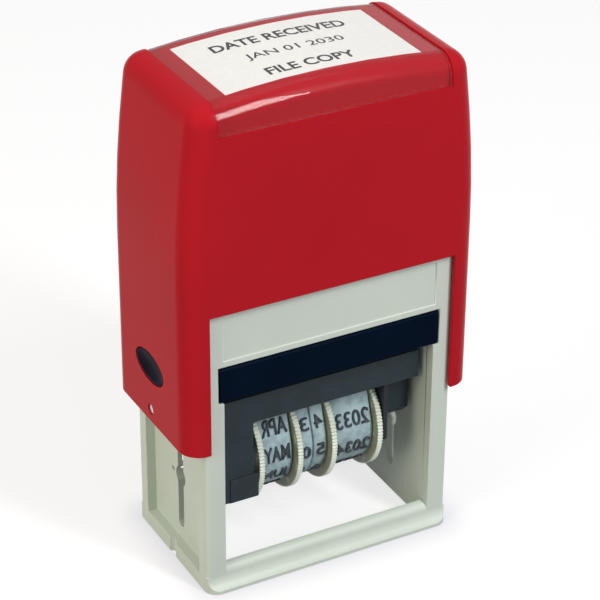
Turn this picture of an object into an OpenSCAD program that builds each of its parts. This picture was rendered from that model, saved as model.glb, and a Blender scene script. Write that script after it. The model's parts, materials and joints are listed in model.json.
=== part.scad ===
// Self-inking date stamp, standing at rest with its cap up.
// X runs to the right, Y to the back and Z up, from the middle of the base's underside. Millimetres.

/* [Printing plate] */
// Width of the rubber text plate
plate_w = 41; // [38:0.5:46]
// Depth of the rubber text plate
plate_d = 23; // [20:0.5:26]
// Height of the printing face over the carriage's axle
die_rise = 7.2; // [6.8:0.1:7.8]
// Thickness of the text plate's rubber base
die_base_t = 0.5; // [0.4:0.1:0.8]
// Height of the raised text over that base
relief_h = 0.7; // [0.5:0.1:0.9]
// Thickness of the backing plate under the rubber
backing_t = 1; // [0.8:0.1:1.4]
// Margin of the raised text inside the rubber's edge
relief_margin = 1.2; // [1.1:0.1:2]

/* [Press] */
// How far the cap is pressed down
travel = 28.7; // [27:0.1:30]
// Height of the printing face over the paper when pressed home
print_gap = 0.3; // [0.3:0.1:0.6]
// Gap left between cap and flange when pressed home
stop_gap = 1.56; // [1.5:0.01:2.5]

/* [Frame] */
// Thickness of the frame's side walls
side_wall = 2.3; // [2:0.1:2.8]
// Thickness of the frame's front and back panels
panel_t = 2; // [1.6:0.1:2.4]
// Radius of the frame's upright corners
frame_r = 1.2; // [0.8:0.1:2]
// Radius of the flange's corners
flange_r = 2.8; // [1.5:0.1:3]
// How far the corner posts and the flange stand out from the side walls
post_out = 2.1; // [1.6:0.1:2.5]
// Depth of each corner post
post_len = 3.5; // [3.2:0.1:4]
// How far the flange reaches past the front and back panels
flange_out = 1.65; // [1:0.05:2.2]
// Thickness of the flange's ledge at the sides
flange_t = 3.2; // [2.8:0.1:3.6]
// Thickness of the flange's edge under the flare
flange_edge = 0.7; // [0.5:0.1:1.6]
// Height of the front and back sills
sill_top = 5.2; // [4.8:0.1:6]
// Radius of the sills' upper outer edge
sill_r = 1.8; // [1:0.1:1.9]
// Height of the panel that shows over the pad, up to the cap's cut-out
panel_show = 12.15; // [9:0.05:15]
// How far the frame reaches up past the edge of the cap's cut-out
panel_hidden = 2.7; // [1.5:0.1:4]
// Thickness of the roof over the ink pad
roof_t = 2; // [1.5:0.1:2.4]
// Depth of the recessed field in the front and back panels
field_depth = 0.3; // [0.2:0.05:0.5]
// Border round the recessed field
field_border = 1.4; // [1:0.1:2]
// Width of the ledges that carry the pad tray
rail_w = 1; // [0.9:0.05:1.1]
// Thickness of those ledges
rail_t = 0.85; // [0.7:0.05:1]
// Radius of the alignment notch in each side of the flange
notch_r = 1.4; // [1:0.1:2]
// Depth of that notch
notch_depth = 0.8; // [0.5:0.1:1]
// Radius of the moulding's gate mark in each outer side
gate_r = 0.6; // [0.4:0.1:0.8]
// Depth of the gate mark
gate_depth = 0.5; // [0.3:0.1:0.7]
// Distance of the gate mark behind the axle slot
gate_back = 3.4; // [3.2:0.1:4.4]

/* [Cam track] */
// Distance of the cam peg from the carriage's axle
cam_arm = 5; // [4.6:0.1:5.4]
// Radius of the cam peg
peg_r = 1.1; // [0.9:0.05:1.3]
// Depth of the cam track in the left wall
track_depth = 1.3; // [1.1:0.1:1.5]
// Radius of the keyhole in each axle slot
keyhole_r = 2.1; // [1.9:0.1:2.6]
// Height of the keyhole over the lowest place of the axle
keyhole_rise = 10.9; // [9:0.1:13]

/* [Cap] */
// Thickness of the cap's side walls
cap_side_wall = 1.8; // [1.5:0.1:2.2]
// Thickness of the cap's front and back walls
cap_front_wall = 1.1; // [1:0.05:1.4]
// Room between the corner posts and the cap's side walls
cap_side_room = 2.3; // [2:0.1:2.8]
// Height over the cap's lower edge where its sides start to bow in
bow_rise = 36.5; // [30:0.1:44]
// Radius of the bow of the cap's sides
bow_r = 216; // [190:1:260]
// How far the cap's legs lap over the frame's posts
cut_lap = 1; // [0.6:0.1:1.6]
// Radius of the cap's outer edges
cap_edge_r = 4.5; // [4.2:0.1:5.2]
// Radius of the cap's inner edges
cavity_r = 2.2; // [1.9:0.1:2.4]
// Thickness of the cap's crown at its middle
crown_t = 4.6; // [4.2:0.1:5.4]
// Radius of the crown's curve from left to right
crown_r = 190; // [160:1:230]
// Room over the frame inside the pressed cap
head_room = 8.4; // [7:0.1:10]
// Radius of the bosses that carry the carriage's axle
boss_r = 3; // [2.4:0.1:3.4]
// Width of the guide ribs inside the cap
rib_w = 1.65; // [1.4:0.05:2]
// Height of the guide ribs
rib_h = 30; // [24:1:34]

/* [Index window] */
// Width of the clear index window
window_w = 48.9; // [46:0.1:51]
// Thickness of the index window
window_t = 0.8; // [0.6:0.05:0.9]
// How far the window lies below the cap's shoulders
window_sink = 0.33; // [0.2:0.01:0.4]
// How far the window's lips reach down from the crown's peak
lip_drop = 7.55; // [7:0.05:8]
// Thickness of the paper label under the window
label_t = 0.16; // [0.12:0.02:0.2]

/* [Lock buttons] */
// Width of the oval openings in the cap's sides
oval_w = 12.5; // [10:0.1:13]
// Height of the oval openings
oval_h = 6.5; // [5.5:0.1:7]
// Height of the openings' middle over the cap's lower edge
oval_rise = 12.5; // [11:0.1:14]
// How far a lock button is pushed in
lock_travel = 1.5; // [1:0.1:1.6]
// Thickness of the button's inner flange
lock_flange_t = 0.8; // [0.6:0.05:1]
// How far that flange reaches past the opening
lock_flange_out = 0.9; // [0.6:0.1:1.2]
// How far the button lies below the cap's side
lock_sink = 0.1; // [0.05:0.05:0.4]
// Depth of the finger dish in the button's face
dish_depth = 0.6; // [0.4:0.05:0.8]
// Rim left around the dish
dish_rim = 0.6; // [0.5:0.05:0.9]

/* [Ink pad] */
// Height of the tray's grip bar
grip_h = 7.5; // [6.5:0.1:8.5]
// Depth of the grip bar
grip_d = 2; // [1.8:0.1:2.6]
// How far the grip bar reaches past the chamber at each side
grip_over = 0.9; // [0.6:0.05:1.2]
// Wall of the tray
tray_wall = 1.5; // [1.2:0.1:1.8]
// Gap between the printing face and the felt at rest
felt_gap = 0.45; // [0.4:0.05:0.7]
// How far the felt stands out of the tray
felt_proud = 0.2; // [0.1:0.05:0.3]

/* [Carriage] */
// Margin of the carriage beside the text plate
carriage_margin = 1.7; // [1.5:0.1:2.2]
// Height of the carriage's ring
ring_h = 6.2; // [5.6:0.1:6.6]
// Depth of the front and back bars of that ring
bar_d = 2.6; // [2.2:0.1:3]
// Half depth of the cheeks
cheek_half_d = 8.5; // [8:0.1:9]
// How far the cheeks reach down from the axle
cheek_drop = 12.4; // [10:0.1:14]
// Length of the bevel at the cheeks' lower corners
cheek_bevel = 2; // [1.5:0.1:4]
// How far the left arm reaches down from the axle
arm_drop = 18.6; // [16:0.1:19.5]
// Height of the foot at the end of the arm
arm_foot_h = 5.4; // [4:0.1:6.5]
// Thickness of the arm
arm_t = 3; // [2.4:0.1:3.4]
// How far the foot reaches past the arm towards the wheels
arm_step = 1; // [0.6:0.1:1.4]
// Radius of the carriage's axle pins
pin_r = 1.1; // [0.9:0.05:1.3]
// How deep the axle pins and the cam peg sit in the carriage
pin_seat = 5; // [3.5:0.1:5.5]

/* [Date wheels and bands] */
// Distance of the wheel axle below the carriage's axle
wheel_drop = 13; // [12.6:0.1:13.4]
// Radius of the toothed rims
wheel_r = 12; // [11.4:0.1:12.3]
// Number of teeth on a rim
teeth = 100; // [72:1:120]
// Depth of the teeth
tooth_depth = 0.4; // [0.3:0.05:0.5]
// Thickness of a rim
rim_t = 1.2; // [1:0.05:1.4]
// Radius of the drums that the bands run on
drum_r = 8.9; // [8.4:0.05:9.1]
// Thickness of a band with its characters
band_t = 1.2; // [1:0.05:1.4]
// Width of the month band
month_w = 7; // [6.6:0.1:7.2]
// Width of each day band
day_w = 2.95; // [2.75:0.05:3.1]
// Width of the year band
year_w = 8.9; // [8.4:0.1:9.2]
// How far the dater sits to the right of the middle
dater_off = 0.3; // [0:0.05:0.5]
// Half width of the flat top of the band nose
nose_half = 2.1; // [1.8:0.1:2.3]
// Radius of the nose's edges
nose_r = 0.9; // [0.7:0.05:1]
// Height of the nose
nose_h = 5; // [4:0.1:5.5]
// Radius of the wheel axle
axle_r = 1.5; // [1.2:0.05:1.8]
// Radius of the side plates round that axle
eye_r = 4.2; // [3.6:0.1:5]
// Thickness of the dater's side plates
dater_t = 1; // [0.8:0.05:1.1]
// Half width of the side plates at the top
dater_half_w = 6.5; // [5.5:0.1:7.5]
// How far the right side plate's wide part beside its wheel stops short of the text plate's edge
skirt_inset = 0.3; // [0.1:0.1:1.5]
// How far that wide part reaches below the wheel axle
skirt_drop = 2; // [1:0.1:3]

/* [Spring] */
// Outer diameter of the return spring
spring_od = 12; // [11:0.1:13]
// Diameter of its wire
wire_d = 1.2; // [1:0.05:1.4]
// Number of turns
turns = 9; // [7:1:10]
// Gap between the closed turns at its ends
end_gap = 0.55; // [0.5:0.01:0.7]
// Height of the post inside the spring
post_h = 12; // [8:0.1:13]
// Height of the ring round the spring's top
ring_seat_h = 4; // [3:0.1:5]

/* [Clearances] */
// Running clearance of a pin in its bore
run_gap = 0.05; // [0.04:0.01:0.09]
// Clearance of a pin pressed into its seat
press_gap = 0.02; // [0.01:0.01:0.03]
// Clearance between faces that slide past each other
slide_gap = 0.25; // [0.2:0.01:0.3]
// Clearance of the pins in their slots and tracks
slot_gap = 0.15; // [0.12:0.01:0.2]
// Room between the turning plate and the frame's sills
swing_gap = 0.25; // [0.2:0.01:0.4]
// Room between the carriage and the frame's side walls
carriage_gap = 1.2; // [1.1:0.05:1.4]
// Gap between two wheels, and between a wheel and its plate
wheel_gap = 0.3; // [0.25:0.01:0.4]
// Gap between a band and what it runs beside or over
band_gap = 0.2; // [0.15:0.01:0.25]
// Gap between parts that lie loosely on each other
lay_gap = 0.04; // [0.02:0.01:0.06]

/* [Hidden] */
$fn = 48;

// Extra length of a cutting body past the face that it opens
eps = 1;
// Facets of the rounded edges of the cap's shell, and its stations along the bow and half the crown
edge_fn = 32;
bow_steps = 4;
crown_steps = 3;

// Heights of the press, from the paper up
axle_z = print_gap + die_rise + travel;
axle_low_z = axle_z - travel;
die_z = axle_z + die_rise;
carriage_top = die_rise - relief_h - die_base_t - backing_t;
wheel_z = axle_z - wheel_drop;

// The turning plate sets the frame's depth, the carriage sets its width
swing_r = norm([plate_d / 2, die_rise - relief_h]);
dater_skirt = plate_d / 2 - skirt_inset;
inner_d = 2 * (swing_r + swing_gap);
frame_d = inner_d + 2 * panel_t;
flange_d = frame_d + 2 * flange_out;
carriage_w = plate_w + 2 * carriage_margin;
carriage_half_d = sqrt(pow(swing_r, 2) - pow(carriage_top, 2));
inner_w = carriage_w + 2 * carriage_gap;
frame_w = inner_w + 2 * side_wall;
flange_w = frame_w + 2 * post_out;

// The pad chamber
felt_z = die_z + felt_gap;
tray_z0 = felt_z + felt_proud;
grip_z0 = felt_z;
tray_z1 = grip_z0 + grip_h;
rail_z1 = tray_z0 - slide_gap;
rail_z0 = rail_z1 - rail_t;
roof_z0 = tray_z1 + slide_gap;
roof_z1 = roof_z0 + roof_t;
tray_w = inner_w - 2 * slide_gap;
tray_y0 = -frame_d / 2 + grip_d;
tray_y1 = inner_d / 2 - slide_gap;
grip_w = inner_w + 2 * grip_over;
felt_w = tray_w - 2 * tray_wall;

// The cap
cap_z0 = flange_t + stop_gap + travel;
cut_z1 = roof_z0 + panel_show;
frame_top = cut_z1 + panel_hidden;
ceiling_z = frame_top + travel + head_room;
cap_top = ceiling_z + crown_t;
cavity_w = flange_w + 2 * cap_side_room;
cavity_d = frame_d + 2 * slide_gap;
cap_w = cavity_w + 2 * cap_side_wall;
cap_d = cavity_d + 2 * cap_front_wall;
bow_z = cap_z0 + bow_rise;
cut_w = flange_w - 2 * cut_lap;

// The flare of the sills ends where their round upper edge starts
flare_top = sill_top - sill_r;

// The guide ribs run down in front of the back corner posts
rib_y = frame_d / 2 - post_len - slide_gap - rib_w / 2;

// The index window and its seat
window_inset = window_sink + window_t;
label_inset = window_inset + lay_gap;
seat_inset = label_inset + label_t + lay_gap;
lip_z = cap_top - lip_drop;

// The lock buttons
lock_z = cap_z0 + oval_rise;
oval_steps = 36;
dish_long_r = (pow(oval_w / 2 - dish_rim, 2) + pow(dish_depth, 2)) / (2 * dish_depth);
dish_short_r = (pow(oval_h / 2 - dish_rim, 2) + pow(dish_depth, 2)) / (2 * dish_depth);

// The stack of wheels along the wheel axle, from the left plate to the right one
month_drum = month_w + band_gap;
day_drum = day_w + band_gap;
year_drum = year_w + band_gap;
stack_w = 2 * dater_t + 5 * wheel_gap + 4 * rim_t + month_drum + 2 * day_drum + year_drum;
dater_x0 = dater_off - stack_w / 2;
month_x = dater_x0 + dater_t + wheel_gap;
tens_x = month_x + rim_t + month_drum + wheel_gap;
units_x = tens_x + rim_t + day_drum + wheel_gap;
year_x = units_x + day_drum + rim_t + wheel_gap;
dater_x1 = year_x + year_drum + rim_t + wheel_gap;

// The band loops: round the drum below and over the nose above
band_r = drum_r + band_gap;
nose_z = die_z - band_t - lay_gap;
band_steps = 26;
corner_steps = 5;

// The cam track, one step per few degrees of the carriage's half turn
track_steps = 30;
track_r = peg_r + slot_gap;

// The helix of the return spring
spring_r = (spring_od - wire_d) / 2;
spring_z0 = roof_z1 + wire_d / 2 + lay_gap;
spring_z1 = ceiling_z - wire_d / 2 - lay_gap;
end_pitch = wire_d + end_gap;
live_pitch = (spring_z1 - spring_z0 - 2 * end_pitch) / (turns - 2);
turn_rings = 10;
wire_sides = 6;

// Points of an arc round c, from angle a0 to a1
function arc(c, r, a0, a1, n) = [for (i = [0:n]) c + r * [cos(a0 + (a1 - a0) * i / n), sin(a0 + (a1 - a0) * i / n)]];

// Rectangle with round corners, centred
function rounded(w, d, r, n) = concat(
  arc([w / 2 - r, d / 2 - r], r, 0, 90, n),
  arc([r - w / 2, d / 2 - r], r, 90, 180, n),
  arc([r - w / 2, r - d / 2], r, 180, 270, n),
  arc([w / 2 - r, r - d / 2], r, 270, 360, n));

// Upright slot with round ends, from the lower centre to the upper one
function slot(z0, z1, r) = concat(arc([0, z1], r, 0, 180, 16), arc([0, z0], r, 180, 360, 16));

// Ellipse of the lock openings, grown by g
function oval(g) = [for (i = [0:oval_steps - 1])
  [(oval_w / 2 + g) * cos(360 * i / oval_steps), lock_z + (oval_h / 2 + g) * sin(360 * i / oval_steps)]];

// Half width of the cap's side at height z, and the height of its crown at x
function cap_half(z) = cap_w / 2 - pow(max(0, z - bow_z), 2) / (2 * bow_r);
function crown(x) = cap_top - pow(x, 2) / (2 * crown_r);

// Outline of a band's loop, grown by g from its inner face
function loop(g) = concat(
  arc([nose_half, nose_z - nose_r], nose_r + g, loop_angle(), 90, corner_steps),
  arc([-nose_half, nose_z - nose_r], nose_r + g, 90, 180 - loop_angle(), corner_steps),
  arc([0, wheel_z], band_r + g, 180 - loop_angle(), 360 + loop_angle(), band_steps));
// Angle of the straight runs' outward normal over the horizontal
function loop_angle() = asin((band_r - nose_r) / norm([nose_half, nose_z - nose_r - wheel_z]))
  - atan(nose_half / (nose_z - nose_r - wheel_z));

// Place of the cam peg in the frame while the carriage turns by a degrees, and the way it heads
function track_at(a) = [-cam_arm * cos(a), axle_z - travel * a / 180 + cam_arm * sin(a)];
function track_way(a) = [cam_arm * sin(a) * PI / 180, cam_arm * cos(a) * PI / 180 - travel / 180];
function track_side(a, s) = track_at(a) + s * track_r * [-track_way(a)[1], track_way(a)[0]] / norm(track_way(a));
function track_head(a) = atan2(track_way(a)[1], track_way(a)[0]);
function track() = concat(
  [for (i = [0:track_steps]) track_side(180 * i / track_steps, 1)],
  arc(track_at(180), track_r, track_head(180) + 90, track_head(180) - 90, 12),
  [for (i = [track_steps:-1:0]) track_side(180 * i / track_steps, -1)],
  arc(track_at(0), track_r, track_head(0) - 90, track_head(0) - 270, 12));

// Toothed rim of the setting wheels
function rim() = [for (i = [0:2 * teeth - 1])
  (wheel_r - (i % 2) * tooth_depth) * [cos(180 * i / teeth), sin(180 * i / teeth)]];

// Centre of the spring's wire after u turns: closed end turns, open turns between
function coil_z(u) = spring_z0 + end_pitch * min(u, 1) + live_pitch * max(0, min(u - 1, turns - 2))
  + end_pitch * max(0, u - turns + 1);
function coil(u) = [spring_r * cos(360 * u), spring_r * sin(360 * u), coil_z(u)];
coil_points = [for (i = [0:turns * turn_rings]) coil(i / turn_rings)];
coil_gap = min([for (i = [0:len(coil_points) - 1], j = [i + turn_rings / 2:len(coil_points) - 1])
  norm(coil_points[i] - coil_points[j])]) - wire_d;
echo(spring_least_gap = coil_gap);

// Draws an outline given as depth and height, from x0 to x1
module along_x(x0, x1) {
  translate([x0, 0, 0]) rotate([90, 0, 90]) linear_extrude(x1 - x0) children();
}

// Cylinder along X at depth y and height z
module rod(x0, x1, r, y, z) {
  translate([x0, y, z]) rotate([0, 90, 0]) cylinder(r = r, h = x1 - x0);
}

// Block between two corners
module block(p, q) {
  translate(p) cube(q - p);
}

// Copies to the left and to the right
module both_sides() {
  children();
  mirror([1, 0, 0]) children();
}

// Copies to the front and to the back
module front_and_back() {
  children();
  mirror([0, 1, 0]) children();
}

// Sweeping foot of a sill: the flange's edge rises into the panel in a hollow curve
module sill_flare() {
  rise = flare_top - flange_edge;
  r = (pow(rise, 2) + pow(flange_out, 2)) / (2 * flange_out);
  intersection() {
    linear_extrude(flare_top) polygon(rounded(flange_w, flange_d, flange_r, 8));
    along_x(-flange_w / 2, flange_w / 2) difference() {
      translate([-flange_d / 2, 0]) square([flange_out + panel_t / 2, flare_top]);
      translate([-frame_d / 2 - r, flare_top]) circle(r);
    }
  }
}

// The frame's walls, ledge, posts and flared sills, still without openings
module frame_body() {
  linear_extrude(frame_top) polygon(rounded(frame_w, frame_d, frame_r, 8));
  linear_extrude(flange_t) polygon(rounded(flange_w, frame_d, frame_r, 8));
  intersection() {
    linear_extrude(frame_top) polygon(rounded(flange_w, frame_d, frame_r, 8));
    front_and_back()
      block([-flange_w, frame_d / 2 - post_len, 0], [flange_w, frame_d, frame_top]);
  }
  front_and_back() sill_flare();
}

module base_frame() {
  color([0.78, 0.82, 0.78]) {
    difference() {
      frame_body();
      // Well for the carriage and the pad, open below
      block([-inner_w / 2, -inner_d / 2, -eps], [inner_w / 2, inner_d / 2, roof_z0]);
      // Windows through the front and the back
      block([-inner_w / 2, -flange_d, sill_top], [inner_w / 2, 0, roof_z0]);
      block([-inner_w / 2, 0, sill_top], [inner_w / 2, flange_d, rail_z0]);
      // Round upper edges of the sills
      front_and_back() along_x(-inner_w / 2, inner_w / 2) difference() {
        translate([-frame_d / 2 - eps, sill_top - sill_r]) square([sill_r + eps, sill_r + eps]);
        translate([sill_r - frame_d / 2, sill_top - sill_r]) circle(sill_r);
      }
      // Room for the pad's grip bar
      block([-grip_w / 2 - slide_gap, -frame_d, grip_z0 - slide_gap],
            [grip_w / 2 + slide_gap, tray_y0 + slide_gap, roof_z0]);
      // Open box over the roof, for the spring
      block([-inner_w / 2, -inner_d / 2, roof_z1], [inner_w / 2, inner_d / 2, frame_top + eps]);
      // Upright slots for the axle pins, each with a keyhole
      along_x(-flange_w, flange_w) polygon(slot(axle_low_z - slot_gap, axle_z + slot_gap, pin_r + slot_gap));
      both_sides() rod(inner_w / 2 - eps, frame_w / 2 + eps, keyhole_r, 0, axle_low_z + keyhole_rise);
      // Gate marks beside the keyholes
      both_sides() rod(frame_w / 2 - gate_depth, frame_w / 2 + eps, gate_r, gate_back, axle_low_z + keyhole_rise);
      // Cam track in the left wall
      along_x(-inner_w / 2 - track_depth, -inner_w / 2 + eps) polygon(track());
      // Alignment notches in the flange
      both_sides()
        translate([flange_w / 2 + notch_r - notch_depth, 0, -eps]) cylinder(r = notch_r, h = flange_t + 2 * eps);
      // Recessed fields of the panels
      front_and_back()
        block([-inner_w / 2, -frame_d, roof_z0 + field_border],
              [inner_w / 2, -frame_d / 2 + field_depth, cut_z1 - field_border]);
    }
    // Ledges that carry the pad tray
    both_sides()
      block([inner_w / 2 - rail_w, tray_y0 + slide_gap, rail_z0],
            [(inner_w + side_wall) / 2, (inner_d + panel_t) / 2, rail_z1]);
    // Post inside the spring
    translate([0, 0, roof_z1 - roof_t / 2])
      cylinder(r = spring_r - wire_d / 2 - slide_gap, h = post_h + roof_t / 2);
  }
}

// Outer form of the cap: sides that bow in, round edges and a crowned top, all drawn in by inset
module cap_form(inset) {
  r = cap_edge_r - inset;
  sphere_z = crown(cap_w / 2 - cap_edge_r) - cap_edge_r;
  reach = cap_half(sphere_z) - cap_edge_r;
  hull() {
    for (z = concat([cap_z0], [for (k = [0:bow_steps - 1]) bow_z + (sphere_z - bow_z) * k / bow_steps]),
         sx = [-1, 1], sy = [-1, 1])
      translate([sx * (cap_half(z) - cap_edge_r), sy * (cap_d / 2 - cap_edge_r), z])
        cylinder(r = r, h = eps / 10, $fn = edge_fn);
    for (k = [-crown_steps:crown_steps], sy = [-1, 1])
      let (x = reach * k / crown_steps)
        translate([x, sy * (cap_d / 2 - cap_edge_r), crown(x) - cap_edge_r]) sphere(r, $fn = edge_fn);
  }
}

// Hollow of the cap: straight past the frame's travel, then drawn in under the window's seat
module cap_cavity() {
  shoulder_z = frame_top + travel + slide_gap;
  draw_in = seat_inset + cap_front_wall / 2;
  levels = [[cap_z0 - eps, 0], [bow_z, 0], [shoulder_z, 0], [ceiling_z - eps, draw_in]];
  hull() for (level = levels, sx = [-1, 1], sy = [-1, 1])
    translate([sx * (cap_half(level[0] + eps) - cap_side_wall - cavity_r - level[1]),
               sy * (cavity_d / 2 - cavity_r - level[1]), level[0]])
      cylinder(r = cavity_r, h = eps, $fn = edge_fn);
}

module cap() {
  boss_x = frame_w / 2 + 2 * slide_gap;
  color([0.69, 0.13, 0.17]) difference() {
    union() {
      difference() {
        cap_form(0);
        cap_cavity();
      }
      both_sides() {
        // Guide rib
        block([frame_w / 2 + slide_gap, rib_y - rib_w / 2, cap_z0],
              [cavity_w / 2 + cap_side_wall / 4, rib_y + rib_w / 2, cap_z0 + rib_h]);
        // Bearing boss of the carriage's axle
        intersection() {
          rod(boss_x, cavity_w / 2 + cap_side_wall / 2, boss_r, 0, axle_z);
          block([0, -boss_r, cap_z0], [cap_w, boss_r, axle_z + boss_r]);
        }
      }
      // Ring round the top of the spring
      translate([0, 0, ceiling_z - ring_seat_h]) difference() {
        cylinder(r = spring_od / 2 + slide_gap + cap_front_wall, h = ring_seat_h + eps);
        translate([0, 0, -eps]) cylinder(r = spring_od / 2 + slide_gap, h = ring_seat_h + eps);
      }
    }
    // Cut-outs that show the frame at the front and the back
    block([-cut_w / 2, -cap_d, cap_z0 - eps], [cut_w / 2, cap_d, cut_z1]);
    // Bearings of the axle pins
    both_sides() rod(boss_x - eps, cap_w / 2 + eps, pin_r + run_gap, 0, axle_z);
    // Oval openings of the lock buttons
    both_sides() along_x(flange_w / 2, cap_w / 2 + eps) polygon(oval(0));
    // Seat of the index window
    difference() {
      block([-window_w / 2 - slide_gap, -cap_d, lip_z - slide_gap], [window_w / 2 + slide_gap, cap_d, cap_top + eps]);
      cap_form(seat_inset);
    }
  }
}

module index_window() {
  color([0.9, 0.92, 0.92, 0.35]) intersection() {
    difference() {
      cap_form(window_sink);
      cap_form(window_inset);
    }
    block([-window_w / 2, -cap_d, lip_z], [window_w / 2, cap_d, cap_top]);
  }
}

module index_label() {
  color([0.95, 0.95, 0.94]) intersection() {
    difference() {
      cap_form(label_inset);
      cap_form(label_inset + label_t);
    }
    block([-plate_w / 2, -plate_d / 2, lip_z], [plate_w / 2, plate_d / 2, cap_top]);
  }
}

module return_spring() {
  n = len(coil_points);
  points = [for (i = [0:n - 1], k = [0:wire_sides - 1])
    let (u = i / turn_rings, out = [cos(360 * u), sin(360 * u), 0], a = 360 * k / wire_sides)
    coil_points[i] + wire_d / 2 * (cos(a) * out + sin(a) * [0, 0, 1])];
  sides = [for (i = [0:n - 2], k = [0:wire_sides - 1])
    let (a = i * wire_sides + k, b = i * wire_sides + (k + 1) % wire_sides)
    each [[a, a + wire_sides, b], [b, a + wire_sides, b + wire_sides]]];
  ends = [for (k = [1:wire_sides - 2])
    let (m = (n - 1) * wire_sides)
    each [[0, k, k + 1], [m, m + k + 1, m + k]]];
  color([0.7, 0.72, 0.74]) polyhedron(points, concat(sides, ends));
}

module ink_pad_tray() {
  color([0.03, 0.06, 0.13]) {
    difference() {
      block([-tray_w / 2, tray_y0 - grip_d / 4, tray_z0], [tray_w / 2, tray_y1, tray_z1]);
      // Pocket for the felt, open below
      block([-felt_w / 2, tray_y0 + tray_wall, tray_z0 - eps], [felt_w / 2, tray_y1 - tray_wall, tray_z1 - tray_wall]);
    }
    // Grip bar with a round upper front edge
    along_x(-grip_w / 2, grip_w / 2) polygon(concat(
      arc([tray_y0 - grip_d / 2, tray_z1 - grip_d / 2], grip_d / 2, 180, 90, 6),
      [[tray_y0, tray_z1], [tray_y0, grip_z0], [tray_y0 - grip_d, grip_z0]]));
  }
}

module ink_pad() {
  color([0.1, 0.1, 0.12])
    block([lay_gap - felt_w / 2, tray_y0 + tray_wall + lay_gap, felt_z],
          [felt_w / 2 - lay_gap, tray_y1 - tray_wall - lay_gap, tray_z1 - tray_wall - lay_gap]);
}

// Cheek of the carriage with bevelled lower corners, as an outline of depth and height
module cheek_outline() {
  low = axle_z - cheek_drop;
  polygon([[-cheek_half_d, axle_z], [-cheek_half_d, low + cheek_bevel], [cheek_bevel - cheek_half_d, low],
           [cheek_half_d - cheek_bevel, low], [cheek_half_d, low + cheek_bevel], [cheek_half_d, axle_z]]);
}

module carriage() {
  top = axle_z + carriage_top;
  bay = [dater_x0 - lay_gap, dater_x0 + stack_w + lay_gap];
  edge = carriage_w / 2;
  color([0.2, 0.22, 0.25]) difference() {
    union() {
      block([-edge, -carriage_half_d, top - ring_h], [edge, carriage_half_d, top]);
      along_x(-edge, bay[0]) cheek_outline();
      along_x(bay[1], edge) cheek_outline();
      // Left arm and its foot, in front of the first wheel
      block([-edge + slide_gap, -carriage_half_d, axle_z - arm_drop],
            [month_x - wheel_gap - slide_gap - arm_step, arm_t - carriage_half_d, top]);
      block([-edge + arm_t / 2, -carriage_half_d - slide_gap, axle_z - arm_drop],
            [month_x - wheel_gap - slide_gap, arm_t + slide_gap - carriage_half_d, axle_z - arm_drop + arm_foot_h]);
    }
    // Bay for the dater
    block([bay[0], bar_d - carriage_half_d, axle_z - ring_h], [bay[1], carriage_half_d - bar_d, top + eps]);
    // Seats of the axle pins and the cam peg
    both_sides() rod(edge - pin_seat, edge + eps, pin_r + press_gap, 0, axle_z);
    rod(-edge - eps, -edge + pin_seat, peg_r + press_gap, -cam_arm, axle_z);
  }
}

// Right-hand axle pin: from its seat in the carriage through the frame's slot into the cap
module axle_pin() {
  color([0.85, 0.86, 0.87])
    rod(carriage_w / 2 - pin_seat, cap_half(axle_z) - slide_gap, pin_r, 0, axle_z);
}

module axle_pin_left() {
  mirror([1, 0, 0]) axle_pin();
}

module axle_pin_right() {
  axle_pin();
}

module cam_peg() {
  color([0.85, 0.86, 0.87])
    rod(-inner_w / 2 - track_depth + slide_gap, pin_seat - carriage_w / 2, peg_r, -cam_arm, axle_z);
}

// Opening in the plates where the date comes through
module date_opening(z0, z1) {
  half_d = nose_half + nose_r + band_t + slide_gap;
  block([month_x + rim_t - slide_gap, -half_d, z0], [year_x + year_drum + slide_gap, half_d, z1]);
}

module die_plate() {
  z0 = axle_z + carriage_top;
  color([0.25, 0.27, 0.3]) difference() {
    block([-plate_w / 2, -plate_d / 2, z0], [plate_w / 2, plate_d / 2, z0 + backing_t]);
    date_opening(z0 - eps, z0 + backing_t + eps);
  }
}

module text_die() {
  z0 = axle_z + carriage_top + backing_t;
  half_w = plate_w / 2 - relief_margin;
  half_d = plate_d / 2 - relief_margin;
  color([0.36, 0.2, 0.16]) difference() {
    union() {
      block([-plate_w / 2, -plate_d / 2, z0], [plate_w / 2, plate_d / 2, z0 + die_base_t]);
      block([-half_w, -half_d, z0], [half_w, half_d, die_z]);
    }
    date_opening(z0 - eps, die_z + eps);
  }
}

// Side plate of the dater: round below at the wheel axle, wide above
module dater_plate(x) {
  top = axle_z + carriage_top - lay_gap;
  along_x(x, x + dater_t) polygon(concat(
    [[-dater_half_w, top], [-dater_half_w, axle_z - dater_half_w / 2]],
    arc([0, wheel_z], eye_r, 180, 360, 20),
    [[dater_half_w, axle_z - dater_half_w / 2], [dater_half_w, top]]));
}

// Seat of the wheel axle in a side plate
module axle_seat(x) {
  rod(x - eps, x + dater_t + eps, axle_r + press_gap, 0, wheel_z);
}

module dater_plate_left() {
  color([0.16, 0.18, 0.2]) difference() {
    dater_plate(dater_x0);
    axle_seat(dater_x0);
  }
}

// The right plate is as wide as its wheel below the carriage's ring
module dater_plate_right() {
  skirt_top = axle_z + carriage_top - ring_h - slide_gap;
  color([0.16, 0.18, 0.2]) difference() {
    union() {
      dater_plate(dater_x1);
      block([dater_x1, -dater_skirt, wheel_z - skirt_drop], [dater_x1 + dater_t, dater_skirt, skirt_top]);
    }
    axle_seat(dater_x1);
  }
}

module wheel_axle() {
  color([0.85, 0.86, 0.87]) rod(dater_x0, dater_x0 + stack_w, axle_r, 0, wheel_z);
}

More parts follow.
